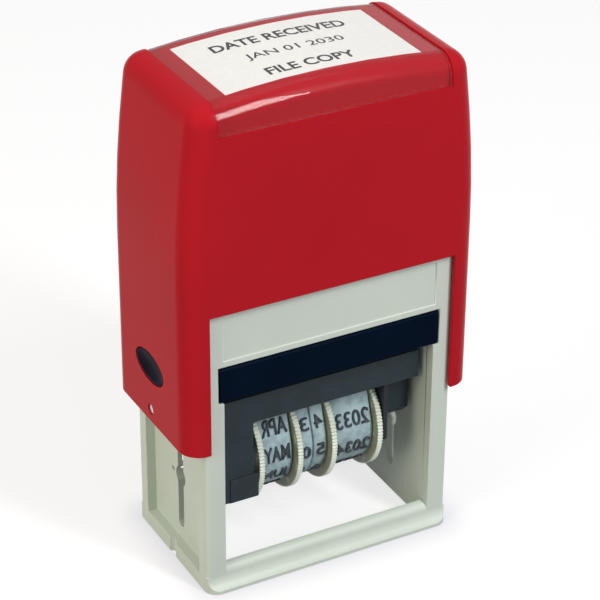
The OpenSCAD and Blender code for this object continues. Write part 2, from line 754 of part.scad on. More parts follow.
// Bar between the side plates, with the round nose that the bands run over
module band_nose() {
  half = nose_half + nose_r - lay_gap;
  color([0.16, 0.18, 0.2]) {
    along_x(month_x + rim_t, year_x + year_drum) polygon(concat(
      arc([nose_half, nose_z - nose_r - lay_gap], nose_r - lay_gap, 0, 90, corner_steps),
      arc([-nose_half, nose_z - nose_r - lay_gap], nose_r - lay_gap, 90, 180, corner_steps),
      [[-half, nose_z - nose_h], [half, nose_z - nose_h]]));
    block([dater_x0 + dater_t, -half, nose_z - nose_h], [dater_x1, half, axle_z + carriage_top - lay_gap]);
  }
}

// Setting wheel: a drum from x0 to x1 with a toothed rim that starts at rim_x
module date_wheel(x0, x1, rim_x) {
  color([0.86, 0.87, 0.82]) difference() {
    union() {
      rod(x0, x1, drum_r, 0, wheel_z);
      along_x(rim_x, rim_x + rim_t) translate([0, wheel_z]) polygon(rim());
    }
    rod(x0 - eps, x1 + eps, axle_r + run_gap, 0, wheel_z);
  }
}

module month_wheel() {
  date_wheel(month_x, month_x + rim_t + month_drum, month_x);
}

module day_tens_wheel() {
  date_wheel(tens_x, tens_x + rim_t + day_drum, tens_x);
}

module day_units_wheel() {
  date_wheel(units_x, units_x + day_drum + rim_t, units_x + day_drum);
}

module year_wheel() {
  date_wheel(year_x, year_x + year_drum + rim_t, year_x + year_drum);
}

// Rubber band of width w, its left edge at x
module date_band(x, w) {
  color([0.63, 0.74, 0.78]) along_x(x, x + w) difference() {
    polygon(loop(band_t));
    polygon(loop(0));
  }
}

module month_band() {
  date_band(month_x + rim_t + band_gap, month_w);
}

module day_tens_band() {
  date_band(tens_x + rim_t + band_gap, day_w);
}

module day_units_band() {
  date_band(units_x, day_w);
}

module year_band() {
  date_band(year_x, year_w);
}

// Right-hand lock button: an oval plug in the cap's side with a finger dish, and a flange behind the wall
module lock_button() {
  face_x = cap_half(lock_z) - lock_sink;
  back_x = cap_half(lock_z + oval_h / 2 + lock_flange_out) - cap_side_wall - slide_gap;
  color([0.05, 0.09, 0.2]) {
    difference() {
      along_x(back_x - lock_flange_t, face_x) polygon(oval(-slide_gap));
      translate([face_x - dish_depth + dish_long_r, 0, lock_z])
        rotate_extrude()
          translate([dish_long_r - dish_short_r, 0]) circle(r = dish_short_r);
    }
    along_x(back_x - lock_flange_t, back_x) polygon(oval(lock_flange_out));
  }
}

module lock_button_left() {
  mirror([1, 0, 0]) lock_button();
}

module lock_button_right() {
  lock_button();
}

base_frame();
cap();
index_window();
index_label();
return_spring();
ink_pad_tray();
ink_pad();
carriage();
axle_pin_left();
axle_pin_right();
cam_peg();
die_plate();
text_die();
dater_plate_left();
dater_plate_right();
wheel_axle();
band_nose();
month_wheel();
day_tens_wheel();
day_units_wheel();
year_wheel();
month_band();
day_tens_band();
day_units_band();
year_band();
lock_button_left();
lock_button_right();
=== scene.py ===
import json
import math

import bmesh
import bpy
from mathutils import Matrix, Vector
from mathutils.bvhtree import BVHTree


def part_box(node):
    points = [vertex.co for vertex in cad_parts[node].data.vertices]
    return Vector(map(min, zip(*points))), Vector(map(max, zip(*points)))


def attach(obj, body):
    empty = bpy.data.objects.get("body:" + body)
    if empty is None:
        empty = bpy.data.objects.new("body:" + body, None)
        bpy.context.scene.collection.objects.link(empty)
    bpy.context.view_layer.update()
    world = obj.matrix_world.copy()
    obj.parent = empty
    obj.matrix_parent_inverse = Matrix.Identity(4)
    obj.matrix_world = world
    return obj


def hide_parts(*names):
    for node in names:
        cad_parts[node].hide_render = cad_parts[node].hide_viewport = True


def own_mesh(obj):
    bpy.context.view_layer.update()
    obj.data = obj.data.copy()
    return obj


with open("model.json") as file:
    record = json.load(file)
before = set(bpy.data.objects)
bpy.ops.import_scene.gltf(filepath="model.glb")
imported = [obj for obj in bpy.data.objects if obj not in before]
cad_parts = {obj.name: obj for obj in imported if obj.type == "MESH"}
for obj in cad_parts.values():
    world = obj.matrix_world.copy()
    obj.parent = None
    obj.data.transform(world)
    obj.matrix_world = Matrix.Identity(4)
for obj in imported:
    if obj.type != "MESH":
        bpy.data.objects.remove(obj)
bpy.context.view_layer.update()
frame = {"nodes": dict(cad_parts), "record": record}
nodes = frame["nodes"]
record = frame["record"]
scene = bpy.context.scene
mm = 0.001
bodyOf = {node: body for body, members in record["behaviour"]["bodies"].items() for node in members}
slotOf = {row["node"]: row["material_slot"] for row in record["subparts"]}
jointOf = {row["name"]: row for row in record["behaviour"]["joints"]}


# small helpers

def addObject(name, data):
    obj = bpy.data.objects.new(name, data)
    scene.collection.objects.link(obj)
    return obj


def settle(obj, body, slot, *stoodFor):  # the piece rides on its body and stands for those nodes
    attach(obj, body)
    if stoodFor:
        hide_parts(*stoodFor)
    return obj


def finishMesh(name, work, finish, body, slot, *stoodFor):
    bmesh.ops.recalc_face_normals(work, faces=work.faces)
    mesh = bpy.data.meshes.new(name)
    work.to_mesh(mesh)
    work.free()
    mesh.materials.append(finish)
    return settle(addObject(name, mesh), body, slot, *stoodFor)


def freeze(obj):  # evaluated shape back to a plain mesh
    graph = bpy.context.evaluated_depsgraph_get()
    shaped = obj.evaluated_get(graph)
    plain = bpy.data.meshes.new_from_object(shaped, preserve_all_data_layers=True, depsgraph=graph)
    obj.modifiers.clear()
    obj.data = plain
    return obj


def shadeByAngle(mesh, degrees):
    sharp = math.radians(degrees)
    work = bmesh.new()
    work.from_mesh(mesh)
    for face in work.faces:
        face.smooth = True
    for edge in work.edges:
        edge.smooth = len(edge.link_faces) == 2 and edge.calc_face_angle(0) < sharp
    work.to_mesh(mesh)
    work.free()


# a node's own shape with rounded edges

mouldedForm = {  # mm and degrees
    "weld": 0.004, "flatten": 0.4, "corner": 40, "smooth": 42, "segments": 2,
    "slim": 1.3,  # an edge beside a face narrower than this many roundings stays sharp
    "straightOn": 0.8,  # cosine above which one edge counts as running on into another
}


def plainCopy(node):  # welded copy of a node with its flat faces whole again
    source = nodes[node].data
    mesh = bpy.data.meshes.new(node + "_shape")
    points = [v.co.copy() for v in source.vertices]
    mesh.from_pydata(points, [], [list(p.vertices) for p in source.polygons])
    work = bmesh.new()
    work.from_mesh(mesh)
    bmesh.ops.remove_doubles(work, verts=work.verts, dist=mouldedForm["weld"] * mm)
    flat = math.radians(mouldedForm["flatten"])
    bmesh.ops.dissolve_limit(work, angle_limit=flat, verts=work.verts, edges=work.edges)
    return mesh, work


def besideSliver(edge, width):  # a face next to the edge is too slim for the rounding
    start = edge.verts[0].co
    along = (edge.verts[1].co - start).normalized()
    return any(max((v.co - start).cross(along).length for v in face.verts) < width
               for face in edge.link_faces)


def runsOnInto(edge, others):
    for v in edge.verts:
        along = (edge.other_vert(v).co - v.co).normalized()
        for other in v.link_edges:
            if other in others:
                onward = (other.other_vert(v).co - v.co).normalized()
                if abs(along.dot(onward)) > mouldedForm["straightOn"]:
                    return True
    return False


def markEdges(work, shortest, width):  # weight 1 on the outer edges that can take a rounding
    weight = work.edges.layers.float.new("bevel_weight_edge")
    corner = math.radians(mouldedForm["corner"])
    bent = {e for e in work.edges if len(e.link_faces) == 2 and e.calc_face_angle(0) > corner}
    chosen = {e for e in bent if e.calc_face_angle_signed(0) > 0 and e.calc_length() > shortest
              and not besideSliver(e, width)}
    while True:  # an edge that runs on into one that stays sharp would end in a fold
        sharp = bent - chosen
        dropped = {e for e in chosen if runsOnInto(e, sharp)}
        if not dropped:
            break
        chosen -= dropped
    for edge in chosen:
        edge[weight] = 1.0


def dressNode(node, finish, edge, shortest, reshape=None):
    shape, work = plainCopy(node)
    if reshape:
        reshape(work)
    markEdges(work, shortest * mm, mouldedForm["slim"] * edge * mm)
    work.to_mesh(shape)
    work.free()
    obj = addObject(node + "_moulded", shape)
    shape.materials.append(finish)
    shape.materials.append(finish)  # this second slot only marks the faces of the rounding
    if edge:
        rounding = obj.modifiers.new("edge", "BEVEL")
        rounding.width = edge * mm
        rounding.segments = mouldedForm["segments"]
        rounding.limit_method = "WEIGHT"
        rounding.use_clamp_overlap = False
        rounding.loop_slide = False
        rounding.material = 1
        freeze(obj)
    mesh = obj.data
    crest = [edge > 0] * len(mesh.vertices)
    for face in mesh.polygons:
        if face.material_index == 0:
            for v in face.vertices:
                crest[v] = False
        face.material_index = 0
    rim = mesh.attributes.new("rim", "FLOAT", "POINT")  # 1 along the crest of each edge, where the edges are drawn lighter: partly wear, partly a painted highlight
    rim.data.foreach_set("value", [float(c) for c in crest])
    mesh.materials.pop(index=1)
    shadeByAngle(mesh, mouldedForm["smooth"])
    flat = obj.modifiers.new("flat", "WEIGHTED_NORMAL")
    flat.keep_sharp = True
    freeze(obj)
    return settle(obj, bodyOf[node], slotOf[node], node)


# node trees

def newTree(name, treeKind, inputs, outputs):
    tree = bpy.data.node_groups.new(name, treeKind)
    for label, kind, value in inputs:
        socket = tree.interface.new_socket(name=label, in_out="INPUT",
                                           socket_type="NodeSocket" + kind)
        if value is not None:
            socket.default_value = value
    for label, kind in outputs:
        tree.interface.new_socket(name=label, in_out="OUTPUT", socket_type="NodeSocket" + kind)
    return tree, tree.nodes.new("NodeGroupInput"), tree.nodes.new("NodeGroupOutput")


def feed(tree, socket, value):  # links the socket, or sets it
    if isinstance(value, bpy.types.NodeSocket):
        tree.links.new(value, socket)
    else:
        socket.default_value = value


def put(tree, kind, **sockets):  # a node with its sockets fed by name, or by number as i0, i1
    node = tree.nodes.new(kind)
    for label, value in sockets.items():
        number = label[1:]
        key = int(number) if number.isdigit() else label.replace("_", " ")
        feed(tree, node.inputs[key], value)
    return node


def calc(tree, operation, a, b=0.0, c=0.0, clamp=False):
    node = put(tree, "ShaderNodeMath", i0=a, i1=b, i2=c)
    node.operation = operation
    node.use_clamp = clamp
    return node.outputs[0]


def mixColour(tree, share, a, b):
    node = tree.nodes.new("ShaderNodeMix")
    node.data_type = "RGBA"
    for index, value in ((0, share), (6, a), (7, b)):  # the colour sockets come after the others
        feed(tree, node.inputs[index], value)
    return node.outputs[2]


def scaled(tree, colour, factor):
    node = put(tree, "ShaderNodeVectorMath", i0=colour)
    node.operation = "SCALE"
    feed(tree, node.inputs["Scale"], factor)
    return node.outputs[0]


def spread(tree, value, low, high, toLow, toHigh):
    return put(tree, "ShaderNodeMapRange", Value=value, From_Min=low, From_Max=high,
               To_Min=toLow, To_Max=toHigh).outputs[0]


def noise(tree, where, scale, detail=2.0, rough=0.5):
    return put(tree, "ShaderNodeTexNoise", Vector=where, Scale=scale, Detail=detail,
               Roughness=rough).outputs[0]


def onObject(tree):
    return tree.nodes.new("ShaderNodeTexCoord").outputs["Object"]


def readAttribute(tree, name):
    node = tree.nodes.new("ShaderNodeAttribute")
    node.attribute_name = name
    return node.outputs["Fac"]


# shader groups

grey = (0.5, 0.5, 0.5, 1)
swing = (0.3, 0.7)  # where most of a noise's values lie
skinForm = {  # the noises as detail and roughness
    "cloud": (4.0, 0.55), "smear": (5.0, 0.6), "smearScale": 190.0,
    "patchScale": 420.0, "patchDetail": 3.0, "patch": (0.42, 0.62, 0.25, 1.0), "rubDull": 0.12,
}


def mouldedSkin():  # mottled, grained moulding with lighter edges, partly rubbed wear and partly a painted edge highlight
    group, start, end = newTree("mouldedSkin", "ShaderNodeTree", [
        ("Colour", "Color", grey), ("Mottle", "Float", 0.05), ("Mottle Scale", "Float", 60.0),
        ("Grain Scale", "Float", 3000.0), ("Roughness", "Float", 0.4),
        ("Roughness Spread", "Float", 0.1), ("Wear And Highlight", "Float", 0.2),
        ("Wear And Highlight Colour", "Color", (0.8, 0.8, 0.8, 1))],
        [("Color", "Color"), ("Roughness", "Float"), ("Height", "Float")])
    i = start.outputs
    where = onObject(group)
    cloud = noise(group, where, i["Mottle Scale"], *skinForm["cloud"])
    mottle = calc(group, "MULTIPLY", spread(group, cloud, *swing, -1.0, 1.0), i["Mottle"])
    shaded = scaled(group, i["Colour"], calc(group, "ADD", 1.0, mottle))
    worn = noise(group, where, skinForm["patchScale"], skinForm["patchDetail"])
    crest = calc(group, "MULTIPLY", readAttribute(group, "rim"),
                 spread(group, worn, *skinForm["patch"]))
    wornAndLit = calc(group, "MULTIPLY", crest, i["Wear And Highlight"], clamp=True)
    group.links.new(mixColour(group, wornAndLit, shaded, i["Wear And Highlight Colour"]), end.inputs["Color"])
    smear = noise(group, where, skinForm["smearScale"], *skinForm["smear"])
    wavy = calc(group, "MULTIPLY", spread(group, smear, *swing, -0.5, 0.5), i["Roughness Spread"])
    dull = calc(group, "ADD", calc(group, "ADD", i["Roughness"], wavy),
                calc(group, "MULTIPLY", wornAndLit, skinForm["rubDull"]), clamp=True)
    group.links.new(dull, end.inputs["Roughness"])
    group.links.new(noise(group, where, i["Grain Scale"]), end.inputs["Height"])
    return group


inkForm = {"blot": (5.0, 0.62), "bare": 0.46, "edge": 0.14}


def inkTouch():  # ink that has crept over a surface in blots
    group, start, end = newTree("inkTouch", "ShaderNodeTree", [
        ("Colour", "Color", grey), ("Ink", "Color", (0.01, 0.01, 0.02, 1)),
        ("Amount", "Float", 0.5), ("Scale", "Float", 300.0), ("Bare", "Float", inkForm["bare"])],
        [("Color", "Color"), ("Mask", "Float")])
    i = start.outputs
    cloud = noise(group, onObject(group), i["Scale"], *inkForm["blot"])
    full = calc(group, "ADD", i["Bare"], inkForm["edge"])
    blot = spread(group, cloud, i["Bare"], full, 0.0, 1.0)
    mask = calc(group, "MULTIPLY", blot, i["Amount"], clamp=True)
    group.links.new(mixColour(group, mask, i["Colour"], i["Ink"]), end.inputs["Color"])
    group.links.new(mask, end.inputs["Mask"])
    return group


metalForm = {"lines": (1.0, 3.0, 0.6), "tone": (0.82, 1.08), "dull": (-0.08, 0.1)}


def drawnMetal():  # fine lines left by drawing or turning, stretched by Along
    group, start, end = newTree("drawnMetal", "ShaderNodeTree", [
        ("Colour", "Color", grey), ("Along", "Vector", (60.0, 2500.0, 2500.0)),
        ("Roughness", "Float", 0.25)],
        [("Color", "Color"), ("Roughness", "Float"), ("Height", "Float")])
    i = start.outputs
    stretch = put(group, "ShaderNodeVectorMath", i0=onObject(group), i1=i["Along"])
    stretch.operation = "MULTIPLY"
    lines = noise(group, stretch.outputs[0], *metalForm["lines"])
    tone = spread(group, lines, *swing, *metalForm["tone"])
    group.links.new(scaled(group, i["Colour"], tone), end.inputs["Color"])
    dull = calc(group, "ADD", i["Roughness"], spread(group, lines, *swing, *metalForm["dull"]))
    group.links.new(dull, end.inputs["Roughness"])
    group.links.new(lines, end.inputs["Height"])
    return group


skinGroup, inkGroup, metalGroup = mouldedSkin(), inkTouch(), drawnMetal()
print("shader groups: 3")


# materials

grainDepth = 0.04  # mm, where a look gives none
groupInputs = {  # a look's key for each input of the groups
    "colour": "Colour", "mottle": "Mottle", "mottleScale": "Mottle Scale",
    "grainScale": "Grain Scale", "roughness": "Roughness", "roughSpread": "Roughness Spread",
    "wearAndHighlight": "Wear And Highlight", "wearAndHighlightColour": "Wear And Highlight Colour", "along": "Along",
    "ink": "Ink", "inkAmount": "Amount", "inkScale": "Scale", "inkBare": "Bare",
}


def srgb(*screen):  # screen values 0 to 255 to a linear colour
    shares = [c / 255 for c in screen]
    return tuple(s / 12.92 if s < 0.0404 else ((s + 0.055) / 1.055) ** 2.4 for s in shares) + (1.0,)


def blankMaterial(name):
    material = bpy.data.materials.new(name)
    material.use_nodes = True
    tree = material.node_tree
    tree.nodes.clear()
    body = tree.nodes.new("ShaderNodeBsdfPrincipled")
    end = tree.nodes.new("ShaderNodeOutputMaterial")
    tree.links.new(body.outputs[0], end.inputs[0])
    return material, tree, body, end


def addGroup(tree, group, look):  # the group with the values that the look gives for it
    node = tree.nodes.new("ShaderNodeGroup")
    node.node_tree = group
    for key, label in groupInputs.items():
        if key in look and label in node.inputs:
            node.inputs[label].default_value = look[key]
    return node


def cover(tree, body, skin, colour, look):
    tree.links.new(colour, body.inputs["Base Color"])
    tree.links.new(skin.outputs["Roughness"], body.inputs["Roughness"])
    if "bump" in look:
        depth = look.get("bumpDepth", grainDepth) * mm
        bump = put(tree, "ShaderNodeBump", Height=skin.outputs["Height"], Strength=look["bump"],
                   Distance=depth)
        tree.links.new(bump.outputs[0], body.inputs["Normal"])
    for socket, value in look.get("sockets", {}).items():
        body.inputs[socket].default_value = value


def moulding(name, look):
    material, tree, body = blankMaterial(name)[:3]
    skin = addGroup(tree, skinGroup, look)
    colour = skin.outputs["Color"]
    if "ink" in look:
        ink = addGroup(tree, inkGroup, look)
        tree.links.new(colour, ink.inputs["Colour"])
        # an attribute can limit the ink to some faces; on the wheels this paints shade on their
        # sides
        if "inkOn" in look:
            amount = calc(tree, "MULTIPLY", readAttribute(tree, look["inkOn"]), look["inkAmount"])
            tree.links.new(amount, ink.inputs["Amount"])
        colour = ink.outputs["Color"]
    cover(tree, body, skin, colour, look)
    return material


def metal(name, look):
    material, tree, body = blankMaterial(name)[:3]
    lines = addGroup(tree, metalGroup, look)
    cover(tree, body, lines, lines.outputs["Color"], look)
    return material


def clearPlastic(name, look):  # the paper below is lit as through a thin sheet
    material, tree, body, end = blankMaterial(name)
    skin = addGroup(tree, skinGroup, look)
    cover(tree, body, skin, skin.outputs["Color"], look)
    path = tree.nodes.new("ShaderNodeLightPath")
    straight = calc(tree, "MAXIMUM", path.outputs["Is Shadow Ray"], path.outputs["Is Diffuse Ray"])
    sheet = put(tree, "ShaderNodeBsdfTransparent", Color=look["shade"])
    both = put(tree, "ShaderNodeMixShader", Fac=straight, i1=body.outputs[0], i2=sheet.outputs[0])
    tree.links.new(both.outputs[0], end.inputs[0])
    return material


# each look's rub colour lightens the edge crests: partly rubbed wear, partly a painted edge
# highlight
capLook = {
    "colour": srgb(179, 28, 39), "mottle": 0.05, "mottleScale": 34.0, "grainScale": 1500.0,
    "roughness": 0.2, "roughSpread": 0.06, "wearAndHighlight": 0.25, "wearAndHighlightColour": srgb(204, 58, 58),
    "bump": 0.05, "sockets": {"Specular IOR Level": 0.025}}
frameLook = {
    "colour": srgb(204, 214, 206), "mottle": 0.03, "mottleScale": 55.0, "grainScale": 2600.0,
    "roughness": 0.42, "roughSpread": 0.12, "wearAndHighlight": 0.35, "wearAndHighlightColour": srgb(232, 235, 226),
    "bump": 0.12, "sockets": {"Subsurface Weight": 0.04, "Subsurface Scale": 0.002,
                              "Specular IOR Level": 0.28}}
padLook = {
    "colour": srgb(3, 16, 34), "mottle": 0.12, "mottleScale": 80.0, "grainScale": 2200.0,
    "roughness": 0.38, "roughSpread": 0.12, "wearAndHighlight": 0.3, "wearAndHighlightColour": srgb(34, 46, 70),
    "bump": 0.12, "sockets": {"Specular IOR Level": 0.015}}
carriageLook = {
    "colour": srgb(37, 49, 56), "mottle": 0.1, "mottleScale": 90.0, "grainScale": 2400.0,
    "roughness": 0.5, "roughSpread": 0.12, "wearAndHighlight": 0.25, "wearAndHighlightColour": srgb(88, 95, 102),
    "bump": 0.15, "sockets": {"Specular IOR Level": 0.2},
    "ink": srgb(24, 28, 36), "inkAmount": 0.3, "inkScale": 160.0}
daterLook = {
    "colour": srgb(33, 39, 46), "mottle": 0.1, "mottleScale": 110.0, "grainScale": 2600.0,
    "roughness": 0.5, "roughSpread": 0.1, "wearAndHighlight": 0.25, "wearAndHighlightColour": srgb(70, 77, 85),
    "bump": 0.12, "sockets": {"Specular IOR Level": 0.2}}
# the wheels' ink is painted shade: its olive colour darkens only their side faces
wheelLook = {
    "colour": srgb(214, 222, 208), "mottle": 0.05, "mottleScale": 130.0, "grainScale": 2600.0,
    "roughness": 0.4, "roughSpread": 0.12, "wearAndHighlight": 0.3, "wearAndHighlightColour": srgb(230, 235, 224),
    "bump": 0.1, "ink": srgb(128, 129, 104), "inkAmount": 0.75, "inkScale": 420.0,
    "inkBare": 0.32, "inkOn": "paintedShadeSide"}
bandLook = {
    "colour": srgb(172, 197, 202), "mottle": 0.08, "mottleScale": 260.0, "grainScale": 5200.0,
    "roughness": 0.62, "roughSpread": 0.1, "bump": 0.2,
    "ink": srgb(96, 116, 134), "inkAmount": 0.4, "inkScale": 520.0}
typeLook = {
    "colour": srgb(46, 56, 66), "mottle": 0.25, "mottleScale": 900.0, "grainScale": 6000.0,
    "roughness": 0.55, "roughSpread": 0.15, "bump": 0.2}
dieLook = {
    "colour": srgb(112, 66, 54), "mottle": 0.12, "mottleScale": 240.0, "grainScale": 5200.0,
    "roughness": 0.66, "roughSpread": 0.12, "bump": 0.25,
    "ink": srgb(24, 22, 38), "inkAmount": 0.85, "inkScale": 210.0}
feltLook = {
    "colour": srgb(34, 32, 52), "mottle": 0.35, "mottleScale": 700.0, "grainScale": 4200.0,
    "roughness": 0.95, "roughSpread": 0.08, "bump": 0.9, "bumpDepth": 0.16,
    "ink": srgb(12, 11, 24), "inkAmount": 0.8, "inkScale": 130.0,
    "sockets": {"Sheen Weight": 0.25, "Sheen Roughness": 0.5}}
buttonLook = {
    "colour": srgb(17, 13, 30), "mottle": 0.1, "mottleScale": 140.0, "grainScale": 2200.0,
    "roughness": 0.36, "roughSpread": 0.08, "wearAndHighlight": 0.4, "wearAndHighlightColour": srgb(58, 58, 100),
    "bump": 0.08, "sockets": {"Specular IOR Level": 0.015}}
paperLook = {
    "colour": srgb(246, 246, 244), "mottle": 0.025, "mottleScale": 900.0, "grainScale": 7000.0,
    "roughness": 0.85, "roughSpread": 0.06, "bump": 0.2, "bumpDepth": 0.02}
printLook = {
    "colour": srgb(26, 26, 28), "mottle": 0.3, "mottleScale": 1500.0, "grainScale": 7000.0,
    "roughness": 0.8, "roughSpread": 0.1, "bump": 0.1}
pinLook = {
    "colour": srgb(222, 220, 220), "along": (60.0, 2500.0, 2500.0), "roughness": 0.28,
    "bump": 0.1, "bumpDepth": 0.02, "sockets": {"Metallic": 1.0}}
springLook = {
    "colour": srgb(178, 180, 186), "along": (900.0, 900.0, 2600.0), "roughness": 0.3,
    "bump": 0.1, "bumpDepth": 0.02, "sockets": {"Metallic": 1.0}}
windowLook = {
    "colour": (0.95, 0.935, 0.96, 1), "shade": (0.9, 0.9, 0.89, 1), "mottle": 0.01,
    "roughness": 0.03, "roughSpread": 0.02, "wearAndHighlight": 0.0,
    "sockets": {"IOR": 1.24, "Specular IOR Level": 0.5, "Transmission Weight": 1.0}}

capRed, frameWhite = moulding("capRed", capLook), moulding("frameWhite", frameLook)
padNavy, carriageSlate = moulding("padNavy", padLook), moulding("carriageSlate", carriageLook)
daterDark, wheelCream = moulding("daterDark", daterLook), moulding("wheelCream", wheelLook)
bandBlue, typeInk = moulding("bandBlue", bandLook), moulding("typeInk", typeLook)
dieRubber, feltInk = moulding("dieRubber", dieLook), moulding("feltInk", feltLook)
buttonNavy, labelPaper = moulding("buttonNavy", buttonLook), moulding("labelPaper", paperLook)
labelInk = moulding("labelInk", printLook)
pinSteel, springWire = metal("pinSteel", pinLook), metal("springWire", springLook)
windowClear = clearPlastic("windowClear", windowLook)
print("materials:", len(bpy.data.materials))


# moulded pieces from the frame's own shapes

windowFit = {"press": 0.35, "coreRise": 0.5}  # mm: how far, and the point that inner sides face


def pressInward(work):  # the window's inner sides go past the air gap, into the crown and the paper
    core = Vector((0, 0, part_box("index_window")[0].z + windowFit["coreRise"] * mm))
    way = {}
    for face in work.faces:
        if face.normal.dot(face.calc_center_median() - core) < 0:
            for v in face.verts:
                way[v] = way.get(v, Vector()) + face.normal
    for v, normal in way.items():
        v.co += normal.normalized() * windowFit["press"] * mm


dressing = {  # node: finish, edge rounding in mm, shortest edge that is rounded, reshaping step
    "base_frame": (frameWhite, 0.22, 0.7),
    "cap": (capRed, 0.22, 0.7),
    "index_window": (windowClear, 0.0, 0.0, pressInward),
    "index_label": (labelPaper, 0.0, 0.0),
    "ink_pad_tray": (padNavy, 0.2, 0.7),
    "carriage": (carriageSlate, 0.18, 0.7),
    "die_plate": (daterDark, 0.1, 0.5),
    "dater_plate_left": (daterDark, 0.1, 0.5),
    "dater_plate_right": (daterDark, 0.1, 0.5),
    "band_nose": (daterDark, 0.1, 0.5),
    "month_wheel": (wheelCream, 0.05, 0.0),
    "day_tens_wheel": (wheelCream, 0.05, 0.0),
    "day_units_wheel": (wheelCream, 0.05, 0.0),
    "year_wheel": (wheelCream, 0.05, 0.0),
    "lock_button_left": (buttonNavy, 0.14, 0.0),
    "lock_button_right": (buttonNavy, 0.14, 0.0),
    "axle_pin_left": (pinSteel, 0.15, 0.0),
    "axle_pin_right": (pinSteel, 0.15, 0.0),
    "cam_peg": (pinSteel, 0.15, 0.0),
    "wheel_axle": (pinSteel, 0.1, 0.0),
}
for node, how in dressing.items():
    mesh = dressNode(node, *how).data
    if how[0] == wheelCream:  # painted shade: ink blots darken the wheels' sides, their teeth stay clean
        paintedShadeSide = mesh.attributes.new("paintedShadeSide", "FLOAT", "FACE")
        paintedShadeSide.data.foreach_set("value", [abs(p.normal.x) for p in mesh.polygons])
print("dressed nodes:", len(dressing))


# return spring: one wound wire

springCoil = {  # mm
    "turns": 9, "radius": 5.4, "wire": 1.2, "foot": 54.24, "head": 102.91, "endGap": 0.55,
    "sides": 12, "stepsPerTurn": 40, "smooth": 60,
}


def grow(name, tree, values):  # inputs go by identifier, from the tree's own list
    obj = addObject(name, bpy.data.meshes.new(name))
    made = obj.modifiers.new("make", "NODES")
    made.node_group = tree
    for item in tree.interface.items_tree:
        if item.item_type == "SOCKET" and item.in_out == "INPUT" and item.name in values:
            made[item.identifier] = values[item.name]
    return freeze(obj)


def woundWire():  # a closed turn at each end, and live turns between them
    tree, start, end = newTree("woundWire", "GeometryNodeTree", [
        ("Turns", "Float", 9.0), ("Radius", "Float", 0.0054), ("Wire", "Float", 0.0012),
        ("Foot", "Float", 0.05), ("End Pitch", "Float", 0.00175), ("Live Pitch", "Float", 0.006),
        ("Steps", "Int", 361), ("Sides", "Int", 12), ("Finish", "Material", None)],
        [("Geometry", "Geometry")])
    i = start.outputs
    line = put(tree, "GeometryNodeCurvePrimitiveLine")
    points = put(tree, "GeometryNodeResampleCurve", Curve=line.outputs[0], Count=i["Steps"])
    share = tree.nodes.new("GeometryNodeSplineParameter").outputs["Factor"]
    turn = calc(tree, "MULTIPLY", share, i["Turns"])
    pastFirst = calc(tree, "MAXIMUM", calc(tree, "SUBTRACT", turn, 1.0), 0.0)
    live = calc(tree, "MINIMUM", pastFirst, calc(tree, "SUBTRACT", i["Turns"], 2.0))
    lastStart = calc(tree, "SUBTRACT", i["Turns"], 1.0)
    pastLast = calc(tree, "MAXIMUM", calc(tree, "SUBTRACT", turn, lastStart), 0.0)
    closed = calc(tree, "ADD", calc(tree, "MINIMUM", turn, 1.0), pastLast)
    height = calc(tree, "ADD", i["Foot"], calc(tree, "MULTIPLY", closed, i["End Pitch"]))
    height = calc(tree, "ADD", height, calc(tree, "MULTIPLY", live, i["Live Pitch"]))
    angle = calc(tree, "MULTIPLY", turn, 2 * math.pi)
    place = put(tree, "ShaderNodeCombineXYZ",
                X=calc(tree, "MULTIPLY", calc(tree, "COSINE", angle), i["Radius"]),
                Y=calc(tree, "MULTIPLY", calc(tree, "SINE", angle), i["Radius"]), Z=height)
    wound = put(tree, "GeometryNodeSetPosition", Geometry=points.outputs[0],
                Position=place.outputs[0])
    ring = put(tree, "GeometryNodeCurvePrimitiveCircle", Resolution=i["Sides"],
               Radius=calc(tree, "MULTIPLY", i["Wire"], 0.5))
    tube = put(tree, "GeometryNodeCurveToMesh", Curve=wound.outputs[0],
               Profile_Curve=ring.outputs[0], Fill_Caps=True)
    whole = put(tree, "GeometryNodeRealizeInstances", Geometry=tube.outputs[0])
    coated = put(tree, "GeometryNodeSetMaterial", Geometry=whole.outputs[0], Material=i["Finish"])
    tree.links.new(coated.outputs[0], end.inputs[0])
    return tree


def returnSpring():
    c = springCoil
    endPitch = c["wire"] + c["endGap"]
    livePitch = (c["head"] - c["foot"] - 2 * endPitch) / (c["turns"] - 2)
    obj = grow("returnSpring", woundWire(), {
        "Turns": float(c["turns"]), "Radius": c["radius"] * mm, "Wire": c["wire"] * mm,
        "Foot": c["foot"] * mm, "End Pitch": endPitch * mm, "Live Pitch": livePitch * mm,
        "Steps": c["turns"] * c["stepsPerTurn"] + 1, "Sides": c["sides"], "Finish": springWire})
    shadeByAngle(obj.data, c["smooth"])
    return settle(obj, "base", "spring_steel", "return_spring")


spring = returnSpring()
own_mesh(spring)
print("spring:", len(spring.data.polygons), "faces")


# raised and printed words

wordForm = {"fill": 0.95, "curveSteps": 3, "weld": 0.00001}  # fill: share of the size that is used


def wordMesh(word, size, width, heavy):  # flat text as a mesh, its middle at the origin
    curve = bpy.data.curves.new("word", "FONT")
    curve.body = word
    curve.size = size
    curve.align_x = "CENTER"
    curve.offset = heavy
    curve.resolution_u = wordForm["curveSteps"]
    obj = addObject("word", curve)
    shaped = obj.evaluated_get(bpy.context.evaluated_depsgraph_get())
    mesh = bpy.data.meshes.new_from_object(shaped)
    bpy.data.objects.remove(obj)
    xs = [v.co.x for v in mesh.vertices]
    ys = [v.co.y for v in mesh.vertices]
    middle = Vector(((min(xs) + max(xs)) / 2, (min(ys) + max(ys)) / 2, 0))
    squeeze = width / (max(xs) - min(xs))
    stretch = size * wordForm["fill"] / (max(ys) - min(ys))
    for v in mesh.vertices:
        v.co = Vector(((v.co.x - middle.x) * squeeze, (v.co.y - middle.y) * stretch, 0))
    return mesh


